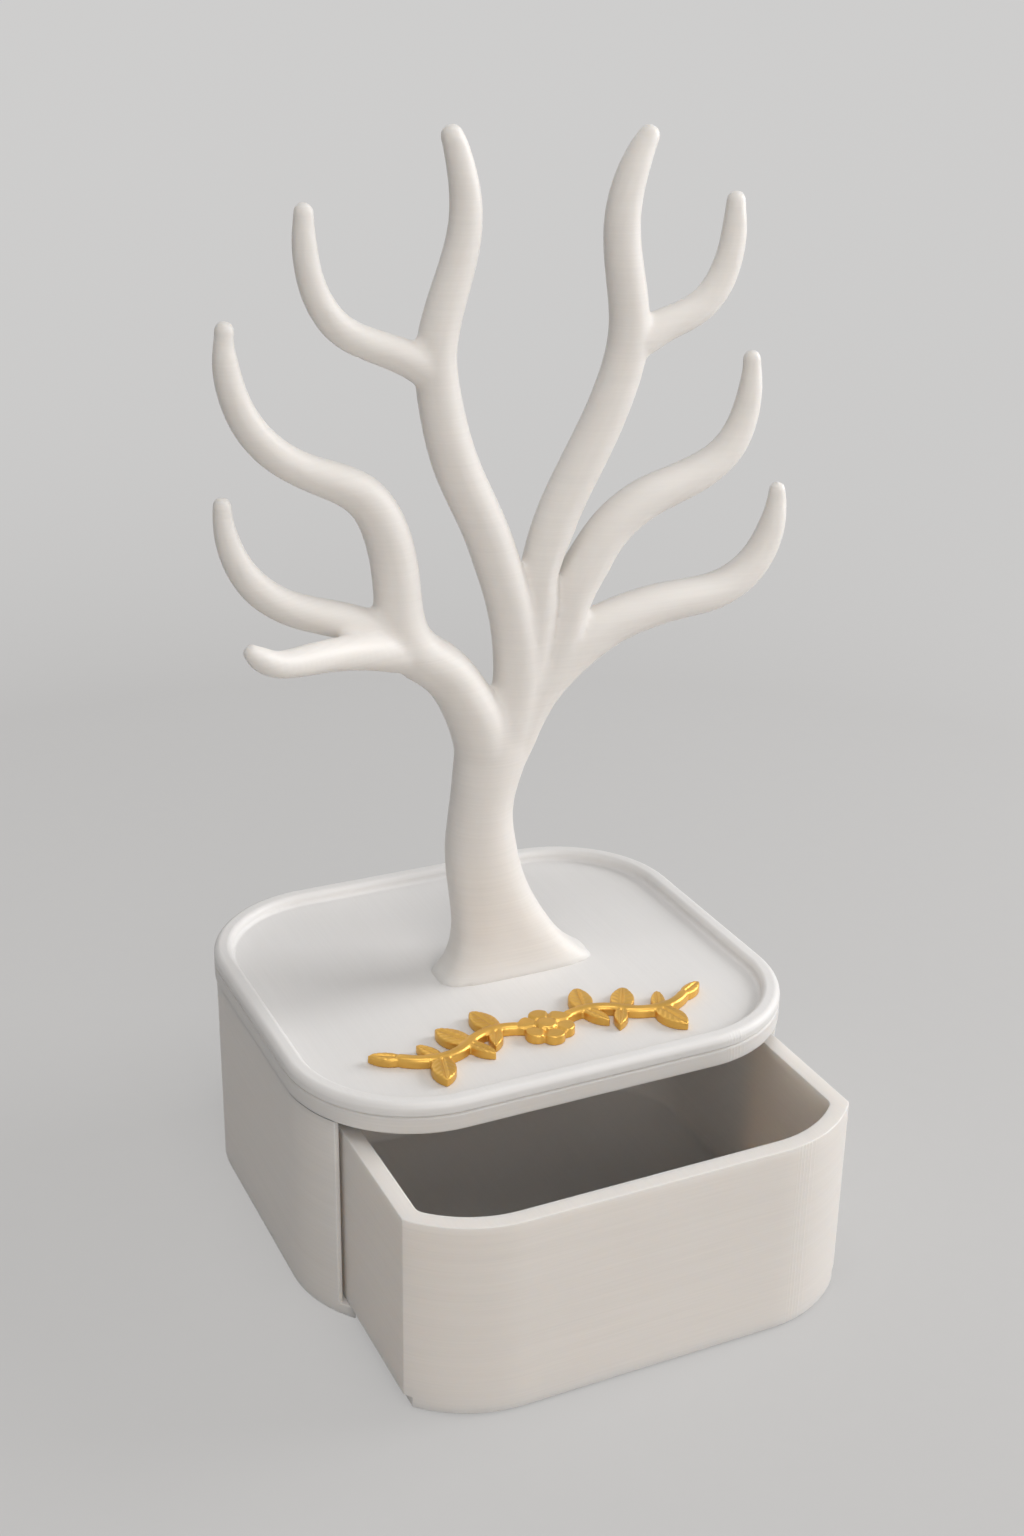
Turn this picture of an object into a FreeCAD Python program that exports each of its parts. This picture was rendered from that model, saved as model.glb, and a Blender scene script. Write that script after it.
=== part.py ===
import FreeCAD, Part
import math
import os

from FreeCAD import Placement, Rotation, Vector
import Sketcher

# Jewellery stand: a rounded-square box with a drawer, a rimmed tray on top of it
# and a branching tree that rings and necklaces hang on.
# Frame: +X to the right, +Y to the back, +Z up, origin under the middle of the box.

# ---------------------------------------------------------------- driving sizes
SIZES = (
    # box
    ("body_width", 120.0), ("body_depth", 107.0), ("corner_radius", 30.0),
    ("floor_thickness", 3.0), ("cavity_height", 47.0), ("roof_thickness", 4.1),
    ("side_wall", 6.4), ("back_wall", 6.0), ("wall_inset", 0.4), ("wall_end_flat", 1.9),
    ("edge_break", 0.4), ("band_edge_break", 0.3),
    # seat in the roof for the tray, and the tray
    ("seat_depth", 2.0), ("seat_lip", 6.0), ("seat_clearance", 0.15),
    ("rim_height", 3.1), ("rim_width", 4.2), ("tray_floor", 2.4),
    ("rim_outer_round", 1.6), ("rim_inner_round", 1.3), ("tray_floor_round", 1.0),
    # drawer
    ("drawer_side_gap", 0.8), ("drawer_back_gap", 1.5), ("drawer_height", 43.6),
    ("drawer_wall", 3.9), ("drawer_floor", 2.4), ("drawer_floor_round", 1.5),
    ("drawer_corner_round", 3.0), ("drawer_opening", 30.0),
    # skirt of the drawer front, which covers the edge of the box's floor
    ("skirt_drop", 2.5), ("skirt_thickness", 3.6), ("skirt_inset", 1.4), ("skirt_gap", 0.6),
    # tree and its fixing
    ("tree_rise", 191.7), ("tree_across", 6.0), ("tree_back", 1.0), ("ring_spacing", 5.0),
    ("tenon_length", 26.0), ("tenon_width", 9.0), ("tenon_clearance", 0.15),
    ("screw_spread", 15.0), ("screw_radius", 1.5), ("screw_length", 12.0),
    ("screw_head_radius", 2.8), ("screw_head_height", 1.3), ("screw_clearance", 0.2),
    ("pilot_clearance", 0.05), ("pilot_spare", 1.0),
    ("drive_width", 0.8), ("drive_length", 3.0), ("drive_depth", 0.9),
    # gilt ornament
    ("ornament_across", -1.0), ("ornament_set_in", 22.0), ("ornament_thickness", 2.0),
    ("stem_start", 3.0), ("half_wave", 16.0), ("wave_angle", 42.0), ("stem_width", 2.6),
    ("leaf_length", 9.5), ("small_leaf_length", 7.5), ("leaf_radius", 6.5), ("leaf_root", 1.2),
    ("petal_reach", 3.8), ("petal_radius", 2.6), ("button_radius", 2.3), ("button_lift", 0.6),
)

# Ornament: how many petals, how many half waves of stem on a side, and the leaves of a side:
# quarter waves along the stem, direction in degrees and which length.
PETALS = 6
WAVES = 2
LEAVES = (
    (1, 75, "leaf_length"), (1, -65, "small_leaf_length"), (2, 60, "leaf_length"),
    (2, -120, "small_leaf_length"), (3, -75, "leaf_length"), (3, 65, "small_leaf_length"),
    (4, 30, "small_leaf_length"),
)

# How high the tree stands over the tray where its stations are drawn. They are stretched upward
# from this to tree_rise.
DRAWN_RISE = 191.7

# Stations of the trunk: height over the tray, offset across, half length, half width
# and the power of the rounded section (2 is an ellipse, more is squarer).
TRUNK = (
    (0, -0.3, 20.5, 7.3, 4.0), (5, -1.7, 14.9, 7.2, 3.4), (12, -3.8, 11.6, 7.2, 2.8),
    (22, -7.0, 9.4, 7.3, 2.4), (34, -9.0, 8.2, 7.5, 2.1), (46, -8.4, 7.5, 7.4, 2.0),
    (56, -6.2, 8.9, 7.1, 2.0), (63, -5.0, 8.5, 6.0, 2.0), (68, -4.5, 5.5, 4.0, 2.0),
)

# Stations of each branch, from its root to its tip: across, back, height, radius.
BRANCHES = {
    "left_bough": (
        (-8, 0, 56, 6.8), (-13.5, 0, 69, 6.8), (-20, 0, 77, 6.2), (-27, 0, 84.5, 5.8),
        (-29, 0, 95, 5.2), (-31, 0, 108, 5.0), (-36, 0, 117.5, 4.6), (-49, 0, 124.5, 3.7),
        (-60, 0, 133.5, 3.4), (-64.5, 0, 144, 2.9), (-65, 0, 154, 2.0)),
    "left_low": (
        (-21, 0, 79, 5.5), (-31, 0, 86, 4.5), (-42, 0, 91.5, 4.0), (-53, 0, 95.5, 3.7),
        (-61, 0, 101.5, 3.4), (-66, 0, 111, 2.6), (-67, 0, 119, 1.9)),
    "left_fore": (
        (-22, 0, 80, 5.0), (-34.5, -3, 84.5, 4.3), (-45.5, -8, 87, 3.6),
        (-55, -13, 88.5, 3.2), (-63.5, -17, 90.5, 2.7), (-67.5, -18, 93.5, 1.8)),
    "left_crown": (
        (-4.5, 0, 58, 6.8), (-1, 0, 72, 5.9), (-2, 0, 83, 5.5), (-4, 0, 94, 5.2),
        (-9, 0, 109, 5.0), (-15.5, 0, 123, 5.0), (-19, 0, 136, 4.7), (-20, 0, 146, 4.4),
        (-17, 0, 159, 4.0), (-13.5, 0, 173, 3.5), (-14.5, 0, 183, 3.0), (-16.5, 0, 189.4, 2.3)),
    "left_inner": (
        (-19.5, 0, 141, 4.2), (-31, 0, 148, 3.5), (-41, 0, 153, 3.2),
        (-46.5, 0, 161.5, 2.8), (-48, 0, 170, 2.5), (-48, 0, 175.8, 2.0)),
    "right_crown": (
        (-3, 0, 62, 5.9), (2, 0, 79, 5.1), (4.5, 0, 93, 4.9), (8, 0, 107, 4.8),
        (16, 0, 123, 4.8), (22.5, 0, 137, 4.6), (25, 0, 148, 4.5), (23.5, 0, 161, 4.2),
        (22.5, 0, 172, 3.9), (25, 0, 182.5, 3.3), (28, 0, 188.4, 2.3)),
    "right_inner": (
        (24.5, 0, 144, 4.4), (35, 0, 149.5, 3.6), (43.5, 0, 153.5, 3.4),
        (48.5, 0, 161, 3.1), (50, 0, 169, 2.7), (50, 0, 174.6, 2.1)),
    "right_mid": (
        (0, 0, 60, 4.6), (8, 0, 76, 5.2), (13.5, 0, 89, 5.2), (20, 0, 102.5, 4.9),
        (30, 0, 110.5, 4.7), (44, 0, 115.5, 4.2), (52, 0, 121, 3.7), (56, 0, 130, 3.0),
        (56.5, 0, 140.2, 2.0)),
    "right_low": (
        (-4.5, 0, 52, 5.3), (-1.9, 0, 58.5, 6.0), (3.7, 0, 68.6, 5.7), (12.3, 0, 76.5, 5.4),
        (22.7, 0, 82.4, 5.1), (31, 0, 84.8, 4.9), (40, 0, 86, 4.6), (52, 0, 87.5, 4.3),
        (60, 0, 92.5, 3.9), (64.5, 0, 100.5, 3.2), (65.5, 0, 109.4, 1.9)),
}

doc = FreeCAD.newDocument("jewellery_stand")


# ------------------------------------------------------------------ sizes sheet
class Size:
    """A number together with the sheet expression that it comes from."""

    def __init__(self, value, text):
        self.value = float(value)
        self.text = text

    def __add__(self, other):
        other = as_size(other)
        return Size(self.value + other.value, f"({self.text} + {other.text})")

    def __sub__(self, other):
        other = as_size(other)
        return Size(self.value - other.value, f"({self.text} - {other.text})")

    def __rsub__(self, other):
        return as_size(other) - self

    def __mul__(self, other):
        other = as_size(other)
        return Size(self.value * other.value, f"({self.text} * {other.text})")

    def __truediv__(self, other):
        other = as_size(other)
        return Size(self.value / other.value, f"({self.text} / {other.text})")

    def __neg__(self):
        return Size(-self.value, f"(0 - {self.text})")

    def root(self):
        return Size(math.sqrt(self.value), f"sqrt({self.text})")

    def sine(self):
        return Size(math.sin(math.radians(self.value)), f"sin({self.text} * 1 deg)")

    def cosine(self):
        return Size(math.cos(math.radians(self.value)), f"cos({self.text} * 1 deg)")

    __radd__ = __add__
    __rmul__ = __mul__


def as_size(number):
    return number if isinstance(number, Size) else Size(number, repr(float(number)))


sheet = doc.addObject("Spreadsheet::Sheet", "sizes")
for row, (alias, number) in enumerate(SIZES, start=1):
    sheet.set(f"A{row}", alias)
    sheet.set(f"B{row}", repr(number))
    sheet.setAlias(f"B{row}", alias)
doc.recompute()


def size(alias):
    return Size(sheet.get(alias), f"sizes.{alias}")


# ------------------------------------------------------------- places and levels
ARC_X = size("body_width") / 2 - size("corner_radius")
ARC_Y = size("corner_radius") - size("body_depth") / 2
FRONT = -(size("body_depth") / 2)
BACK = size("body_depth") / 2
PAST_FRONT = FRONT - size("corner_radius")
ROOF_BOTTOM = size("floor_thickness") + size("cavity_height")
SEAM = ROOF_BOTTOM + size("roof_thickness")
CROWN = SEAM + size("rim_height")
TRAY_TOP = SEAM - size("seat_depth") + size("tray_floor")
CAVITY_HALF = size("body_width") / 2 - size("side_wall")
DRAWER_HALF = CAVITY_HALF - size("drawer_side_gap")
SKIRT_HALF = DRAWER_HALF - size("skirt_inset")
SCREW_PLACES = tuple(
    (size("tree_across") + side * size("screw_spread") / 2, size("tree_back"))
    for side in (-1, 1))


# --------------------------------------------------------------- sketch outlines
def arc_front(radius, across):
    """How far to the front an arc about the box's front corner centre reaches at across."""
    return ARC_Y - (radius * radius - (across - ARC_X) * (across - ARC_X)).root()


def rounded_box(inset):
    """The box's plan outline, moved in by inset."""
    half, front, back = size("body_width") / 2 - inset, FRONT + inset, BACK - inset
    bend = size("corner_radius") - inset
    points = (
        (bend - half, front), (half - bend, front), (half, front + bend), (half, back - bend),
        (half - bend, back), (bend - half, back), (-half, back - bend), (-half, front + bend))
    return points, {1: bend, 3: bend, 5: bend, 7: bend}


def cavity_plan():
    """The drawer's space, open to the front, with rounded back corners."""
    half, back = CAVITY_HALF, BACK - size("back_wall")
    bend = size("corner_radius") - size("side_wall")
    points = (
        (-half, PAST_FRONT), (half, PAST_FRONT), (half, back - bend),
        (half - bend, back), (bend - half, back), (-half, back - bend))
    return points, {2: bend, 4: bend}


def drawer_plan(inset):
    """The drawer's plan outline, moved in by inset: the box's front corners, cut off straight
    at the sides, and back corners that follow the cavity."""
    half = DRAWER_HALF - inset
    back = BACK - size("back_wall") - size("drawer_back_gap") - inset
    bend = size("corner_radius") - size("side_wall") - size("drawer_side_gap") - inset
    arc = size("corner_radius") - inset
    front, side = ARC_Y - arc, arc_front(arc, half)
    points = (
        (-ARC_X, front), (ARC_X, front), (half, side), (half, back - bend),
        (half - bend, back), (bend - half, back), (-half, back - bend), (-half, side))
    return points, {1: arc, 3: bend, 5: bend, 7: arc}


def skirt_plan():
    """The band under the drawer front that hides the edge of the box's floor."""
    half, outer = SKIRT_HALF, size("corner_radius")
    inner = outer - size("skirt_thickness")
    points = (
        (-half, arc_front(outer, half)), (-ARC_X, ARC_Y - outer),
        (ARC_X, ARC_Y - outer), (half, arc_front(outer, half)),
        (half, arc_front(inner, half)), (ARC_X, ARC_Y - inner),
        (-ARC_X, ARC_Y - inner), (-half, arc_front(inner, half)))
    return points, {0: outer, 2: outer, 4: -inner, 6: -inner}


def skirt_rebate_plan():
    """What the front edge of the box's floor gives up to the skirt."""
    half = SKIRT_HALF + size("skirt_gap")
    inner = size("corner_radius") - size("skirt_thickness") - size("skirt_gap")
    points = (
        (-half, PAST_FRONT), (half, PAST_FRONT), (half, arc_front(inner, half)),
        (ARC_X, ARC_Y - inner), (-ARC_X, ARC_Y - inner), (-half, arc_front(inner, half)))
    return points, {2: -inner, 4: -inner}


def rectangle(across, back, half_length, half_width):
    points = (
        (across - half_length, back - half_width), (across + half_length, back - half_width),
        (across + half_length, back + half_width), (across - half_length, back + half_width))
    return points, {}


# ------------------------------------------------------------- part design steps
def new_body(label):
    body = doc.addObject("PartDesign::Body", label)
    body.Label = label
    return body


def new_sketch(body, label, height):
    """An empty sketch in the body's level plane, lifted to height."""
    plane = next(item for item in body.Origin.OriginFeatures if item.Role == "XY_Plane")
    sketch = body.newObject("Sketcher::SketchObject", f"{body.Label}_{label}_sketch")
    sketch.AttachmentSupport = [(plane, "")]
    sketch.MapMode = "FlatFace"
    sketch.AttachmentOffset = Placement(Vector(0, 0, as_size(height).value), Rotation())
    sketch.setExpression("AttachmentOffset.Base.z", as_size(height).text)
    return sketch


def bind(sketch, constraint, amount):
    index = sketch.addConstraint(constraint)
    sketch.setExpression(f"Constraints[{index}]", as_size(amount).text)


def draw_outline(sketch, points, bends):
    """Draw a closed loop. bends holds the radius of the arc after a point, less than nought
    where the arc turns to the right; the other stretches are straight."""
    ends = []
    for number, (here, there) in enumerate(zip(points, points[1:] + points[:1])):
        first = Vector(here[0].value, here[1].value, 0)
        last = Vector(there[0].value, there[1].value, 0)
        if number not in bends:
            index = sketch.addGeometry(Part.LineSegment(first, last))
            ends.append((index, 1, 2))
            continue
        bend = bends[number].value
        chord = last - first
        reach = math.sqrt(bend ** 2 - (chord.Length / 2) ** 2)
        left = Vector(-chord.y, chord.x, 0).normalize()
        centre = (first + last) / 2 + left * math.copysign(reach, bend)
        turns = [math.atan2(p.y - centre.y, p.x - centre.x) for p in (first, last)]
        circle = Part.Circle(centre, Vector(0, 0, 1), abs(bend))
        if bend > 0:
            index = sketch.addGeometry(Part.ArcOfCircle(circle, turns[0], turns[1]))
            ends.append((index, 1, 2))
        else:
            index = sketch.addGeometry(Part.ArcOfCircle(circle, turns[1], turns[0]))
            ends.append((index, 2, 1))
    for number, (index, start, _) in enumerate(ends):
        before, _, stop = ends[number - 1]
        sketch.addConstraint(Sketcher.Constraint("Coincident", before, stop, index, start))
        across, back = points[number]
        bind(sketch, Sketcher.Constraint("DistanceX", -1, 1, index, start, across.value), across)
        bind(sketch, Sketcher.Constraint("DistanceY", -1, 1, index, start, back.value), back)
        if number in bends:
            bend = bends[number] if bends[number].value > 0 else -bends[number]
            bind(sketch, Sketcher.Constraint("Radius", index, bend.value), bend)


def draw_circle(sketch, across, back, radius):
    centre = Vector(across.value, back.value, 0)
    index = sketch.addGeometry(Part.Circle(centre, Vector(0, 0, 1), radius.value))
    bind(sketch, Sketcher.Constraint("DistanceX", -1, 1, index, 3, across.value), across)
    bind(sketch, Sketcher.Constraint("DistanceY", -1, 1, index, 3, back.value), back)
    bind(sketch, Sketcher.Constraint("Radius", index, radius.value), radius)


def extrude(kind, body, label, sketch, length, turned=False):
    """Pad or Pocket the sketch. A pad rises and a pocket sinks, unless turned."""
    before = body.Shape.Volume if body.Tip else 0.0
    step = body.newObject(f"PartDesign::{kind}", f"{body.Label}_{label}")
    step.Profile = sketch
    step.Reversed = turned
    step.setExpression("Length", as_size(length).text)
    doc.recompute()
    gained = body.Shape.Volume - before
    if (gained > 0) != (kind == "Pad"):
        raise RuntimeError(f"{step.Name} changes nothing")
    return step


def plate(kind, body, label, outline, height, length, turned=False):
    sketch = new_sketch(body, label, height)
    draw_outline(sketch, *outline)
    return extrude(kind, body, label, sketch, length, turned)


def edge_near(body, across, back, height):
    """The name of the edge whose middle lies nearest to a place."""
    place = Vector(*(as_size(value).value for value in (across, back, height)))
    edges = body.Shape.Edges
    gaps = [(edge.CenterOfMass - place).Length for edge in edges]
    return f"Edge{gaps.index(min(gaps)) + 1}"


def dress(kind, body, label, places, amount):
    """Fillet or Chamfer the edges nearest to places, and what runs on smoothly from them."""
    names = sorted({edge_near(body, *place) for place in places})
    base = body.Tip
    step = body.newObject(f"PartDesign::{kind}", f"{body.Label}_{label}")
    step.Base = (base, names)
    step.setExpression("Radius" if kind == "Fillet" else "Size", as_size(amount).text)
    doc.recompute()
    return step


# ------------------------------------------------------------------- box housing
def build_housing():
    """Floor, side walls, back wall and roof in one piece, open at the front. The roof stands
    out over the walls a little, as a band under the tray."""
    body = new_body("box_housing")
    inset = size("wall_inset")
    plate("Pad", body, "walls", rounded_box(inset), as_size(0), ROOF_BOTTOM)
    plate("Pad", body, "roof", rounded_box(as_size(0)), ROOF_BOTTOM, size("roof_thickness"))
    plate("Pocket", body, "cavity", cavity_plan(), ROOF_BOTTOM, size("cavity_height"))
    plate("Pocket", body, "tray_seat", rounded_box(size("seat_lip")), SEAM, size("seat_depth"))
    plate("Pocket", body, "skirt_rebate", skirt_rebate_plan(), size("floor_thickness"),
          size("floor_thickness"))
    holes = new_sketch(body, "screw_holes", SEAM)
    hole_radius = size("screw_radius") + size("screw_clearance")
    for across, back in SCREW_PLACES:
        draw_circle(holes, across, back, hole_radius)
    extrude("Pocket", body, "screw_holes", holes, size("roof_thickness"))
    countersink = size("screw_head_radius") - size("screw_radius")
    dress("Chamfer", body, "countersinks",
          [(across, back, ROOF_BOTTOM) for across, back in SCREW_PLACES], countersink)
    wall_end = arc_front(size("corner_radius") - inset, CAVITY_HALF)
    middle = size("floor_thickness") + size("cavity_height") / 2
    dress("Chamfer", body, "wall_ends",
          [(-CAVITY_HALF, wall_end, middle), (CAVITY_HALF, wall_end, middle)],
          size("wall_end_flat"))
    dress("Chamfer", body, "top_edge", [(0, BACK, SEAM)], size("edge_break"))
    dress("Chamfer", body, "band_edge", [(0, BACK, ROOF_BOTTOM)], size("band_edge_break"))
    dress("Chamfer", body, "bottom_edge", [(0, BACK - inset, 0)], size("edge_break"))
    return body


# -------------------------------------------------------------------------- tray
def build_tray():
    """Rimmed tray whose underside drops into the seat in the roof."""
    body = new_body("top_tray")
    plate("Pad", body, "rim", rounded_box(as_size(0)), SEAM, size("rim_height"))
    spigot_inset = size("seat_lip") + size("seat_clearance")
    plate("Pad", body, "spigot", rounded_box(spigot_inset), SEAM, size("seat_depth"), turned=True)
    plate("Pocket", body, "recess", rounded_box(size("rim_width")), CROWN, CROWN - TRAY_TOP)
    mortise = rectangle(
        size("tree_across"), size("tree_back"),
        size("tenon_length") / 2 + size("tenon_clearance"),
        size("tenon_width") / 2 + size("tenon_clearance"))
    plate("Pocket", body, "mortise", mortise, TRAY_TOP, size("tray_floor"))
    inner = FRONT + size("rim_width")
    dress("Fillet", body, "rim_outer_edge", [(0, FRONT, CROWN)], size("rim_outer_round"))
    dress("Fillet", body, "rim_inner_edge", [(0, inner, CROWN)], size("rim_inner_round"))
    dress("Fillet", body, "floor_edge", [(0, inner, TRAY_TOP)], size("tray_floor_round"))
    dress("Chamfer", body, "seam_edge", [(0, FRONT, SEAM)], size("edge_break"))
    return body


# ------------------------------------------------------------------------ drawer
def build_drawer():
    """One-piece drawer, drawn where it is shut and placed open."""
    body = new_body("drawer")
    bottom, height = size("floor_thickness"), size("drawer_height")
    top, wall = bottom + height, size("drawer_wall")
    plate("Pad", body, "block", drawer_plan(as_size(0)), bottom, height)
    plate("Pad", body, "skirt", skirt_plan(), bottom, size("skirt_drop"), turned=True)
    plate("Pocket", body, "inside", drawer_plan(wall), top, height - size("drawer_floor"))
    inner_half, inner_arc = DRAWER_HALF - wall, size("corner_radius") - wall
    corner = arc_front(inner_arc, inner_half)
    middle = top - (height - size("drawer_floor")) / 2
    dress("Fillet", body, "inner_corners",
          [(-inner_half, corner, middle), (inner_half, corner, middle)],
          size("drawer_corner_round"))
    dress("Fillet", body, "inner_floor_edge",
          [(0, FRONT + wall, bottom + size("drawer_floor"))], size("drawer_floor_round"))
    body.setExpression("Placement.Base.y", (-size("drawer_opening")).text)
    return body


# -------------------------------------------------------------------------- tree
def rounded_section(across, half_length, half_width, power, height):
    """A closed smooth curve between an ellipse and a rectangle."""
    count = 24
    points = []
    for number in range(count):
        turn = 2 * math.pi * number / count
        cosine, sine = math.cos(turn), math.sin(turn)
        points.append(Vector(
            across + half_length * math.copysign(abs(cosine) ** (2 / power), cosine),
            half_width * math.copysign(abs(sine) ** (2 / power), sine), height))
    curve = Part.BSplineCurve()
    curve.interpolate(points, PeriodicFlag=True)
    return Part.Wire(curve.toShape())


def trunk_solid(stretch):
    sections = [rounded_section(across, length, width, power, height * stretch)
                for height, across, length, width, power in TRUNK]
    return Part.makeLoft(sections, True, False)


def branch_solid(stations, stretch):
    """A tapering round branch through its stations, with a domed tip. The loft runs through
    evenly spaced rings, so that it doesn't bulge between stations far apart."""
    places = [Vector(across, back, height * stretch) for across, back, height, _ in stations]
    path = Part.BSplineCurve()
    path.interpolate(places)
    marks = [path.parameter(place) for place in places]
    count = round(path.length() / size("ring_spacing").value)
    rings = []
    for centre in path.discretize(Number=count + 1):
        mark = path.parameter(centre)
        ahead = path.tangent(mark)[0]
        after = next((n for n in range(1, len(marks)) if mark <= marks[n]), len(marks) - 1)
        share = (mark - marks[after - 1]) / (marks[after] - marks[after - 1])
        radius = stations[after - 1][3] * (1 - share) + stations[after][3] * share
        ring = Part.Wire(Part.Circle(Vector(), Vector(0, 0, 1), radius).toShape())
        ring.Placement = Placement(centre, Rotation(Vector(), Vector(0, 1, 0), ahead, "ZYX"))
        rings.append(ring)
    tip = Part.makeSphere(radius, centre, ahead, 0, 90, 360)
    return Part.makeLoft(rings, True, False).fuse(tip)


def build_tree():
    """Trunk and branches in one piece, with a tenon below for the tray's mortise."""
    length, width, depth = (size(name).value for name in (
        "tenon_length", "tenon_width", "tray_floor"))
    solid = Part.makeBox(length, width, depth, Vector(-length / 2, -width / 2, -depth))
    stretch = size("tree_rise").value / DRAWN_RISE
    solid = solid.fuse(trunk_solid(stretch))
    for stations in BRANCHES.values():
        solid = solid.fuse(branch_solid(stations, stretch))
    pilot = (size("screw_radius") + size("pilot_clearance")).value
    screw_end = ROOF_BOTTOM + size("screw_length")
    bore = (screw_end + size("pilot_spare") - TRAY_TOP).value + depth
    for side in (-1, 1):
        across = side * size("screw_spread").value / 2
        solid = solid.cut(Part.makeCylinder(pilot, bore, Vector(across, 0, -depth)))
    tree = doc.addObject("Part::Feature", "tree")
    tree.Shape = solid.Solids[0]
    tree.Placement = Placement(
        Vector(size("tree_across").value, size("tree_back").value, TRAY_TOP.value), Rotation())
    return tree


# ------------------------------------------------------------------------ screws
def bound_primitive(kind, name, place, **amounts):
    """A Part primitive whose sizes and place follow the sheet."""
    shape = doc.addObject(f"Part::{kind}", name)
    for key, amount in amounts.items():
        shape.setExpression(key, as_size(amount).text)
    for axis, amount in zip("xyz", place):
        shape.setExpression(f"Placement.Base.{axis}", as_size(amount).text)
    return shape


def build_screws():
    """Two countersunk screws that hold tray and tree to the roof from below."""
    screws = []
    radius, head = size("screw_radius"), size("screw_head_height")
    long, short = size("drive_length") / 2, size("drive_width") / 2
    for number, (across, back) in enumerate(SCREW_PLACES, start=1):
        name = f"tree_screw_{number}"
        place = (across, back, ROOF_BOTTOM)
        shank = bound_primitive("Cylinder", f"{name}_shank", place,
                                Radius=radius, Height=size("screw_length"))
        cone = bound_primitive("Cone", f"{name}_head", place, Radius1=size("screw_head_radius"),
                               Radius2=radius, Height=head)
        blank = doc.addObject("Part::Fuse", f"{name}_blank")
        blank.Base, blank.Tool = shank, cone
        slots = []
        for mark, half_x, half_y in (("a", long, short), ("b", short, long)):
            slots.append(bound_primitive(
                "Box", f"{name}_slot_{mark}", (across - half_x, back - half_y, ROOF_BOTTOM),
                Length=half_x * 2, Width=half_y * 2, Height=size("drive_depth")))
        cross = doc.addObject("Part::Fuse", f"{name}_cross")
        cross.Base, cross.Tool = slots
        screw = doc.addObject("Part::Cut", name)
        screw.Base, screw.Tool = blank, cross
        screws.append(screw)
    group = doc.addObject("Part::Compound", "tree_screws")
    group.Links = screws
    return group


# ---------------------------------------------------------------------- ornament
def mirrored(outline):
    points, bends = outline
    return (tuple((-across, back) for across, back in points),
            {number: -bend for number, bend in bends.items()})


def wave_radius():
    return size("half_wave") / (2 * size("wave_angle").sine())


def stem_plan():
    """A stem to the right of the rosette that swings up, then down, in equal arcs."""
    half, path_radius = size("stem_width") / 2, wave_radius()
    shift, lift = half * size("wave_angle").sine(), half * size("wave_angle").cosine()
    lower, upper, bends = [], [], {}
    for number in range(WAVES + 1):
        across = size("stem_start") + number * size("half_wave")
        lean = -shift if number % 2 == 0 else shift
        lower.append((across - lean, -lift))
        upper.append((across + lean, lift))
    for number in range(WAVES):
        back_again = 2 * WAVES - number
        if number % 2 == 0:
            bends[number], bends[back_again] = half - path_radius, path_radius + half
        else:
            bends[number], bends[back_again] = path_radius + half, half - path_radius
    return tuple(lower) + tuple(reversed(upper)), bends


def stem_place(halves):
    """Where the stem's middle line is, so many half swings of half a wave from its start."""
    across = size("stem_start") + halves * size("half_wave") / 2
    height = wave_radius() * (1 - size("wave_angle").cosine())
    return across, (as_size(0), height, as_size(0), -height)[halves % 4]


def leaf_plan(halves, direction, length):
    """A pointed leaf of two equal arcs that grows from the stem."""
    across, back = stem_place(halves)
    turn = math.radians(direction)
    along, aside = math.cos(turn), math.sin(turn)
    root = (across - size("leaf_root") * along, back - size("leaf_root") * aside)
    tip = (across + length * along, back + length * aside)
    return (root, tip), {0: size("leaf_radius"), 1: size("leaf_radius")}


def build_ornament():
    """Gilt spray of leaves on both sides of a rosette, one flat plate on the tray."""
    body = new_body("vine_ornament")
    base, thickness = as_size(0), size("ornament_thickness")
    button = new_sketch(body, "button", base)
    draw_circle(button, base, base, size("button_radius"))
    extrude("Pad", body, "button", button, thickness + size("button_lift"))
    for number in range(PETALS):
        turn = 2 * math.pi * (number + 0.5) / PETALS
        petal = new_sketch(body, f"petal_{number + 1}", base)
        draw_circle(petal, size("petal_reach") * math.cos(turn),
                    size("petal_reach") * math.sin(turn), size("petal_radius"))
        extrude("Pad", body, f"petal_{number + 1}", petal, thickness)
    outlines = [("stem", stem_plan())]
    for number, (halves, direction, name) in enumerate(LEAVES, start=1):
        outlines.append((f"leaf_{number}", leaf_plan(halves, direction, size(name))))
    for label, outline in outlines:
        plate("Pad", body, f"right_{label}", outline, base, thickness)
        plate("Pad", body, f"left_{label}", mirrored(outline), base, thickness)
    place = (size("ornament_across"), FRONT + size("ornament_set_in"), TRAY_TOP)
    for axis, amount in zip("xyz", place):
        body.setExpression(f"Placement.Base.{axis}", amount.text)
    return body


# ------------------------------------------------------------------ check, export
PIECES = [build() for build in (
    build_housing, build_tray, build_drawer, build_tree, build_screws, build_ornament)]
doc.recompute()
for item in doc.Objects:
    if "Invalid" in item.State or "Error" in item.State:
        raise RuntimeError(f"{item.Name} failed: {item.State}")

os.makedirs("parts", exist_ok=True)
for piece in PIECES:
    shape = piece.Shape
    if shape.isNull() or not shape.isValid():
        raise RuntimeError(f"{piece.Label} has no valid shape")
    shape.exportStep(f"parts/{piece.Label}.step")
    box = shape.BoundBox
    print(f"{piece.Label}: {len(shape.Solids)} solid, {shape.Volume:.0f} mm3, "
          f"x {box.XMin:.1f} to {box.XMax:.1f}, y {box.YMin:.1f} to {box.YMax:.1f}, "
          f"z {box.ZMin:.1f} to {box.ZMax:.1f}")
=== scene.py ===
"""Looks of a printed jewelry stand: a box with a drawer, a rimmed tray and a branching tree.

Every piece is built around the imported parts, which stay where they are. Lengths are in metres
where a comment doesn't say mm.
"""

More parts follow.
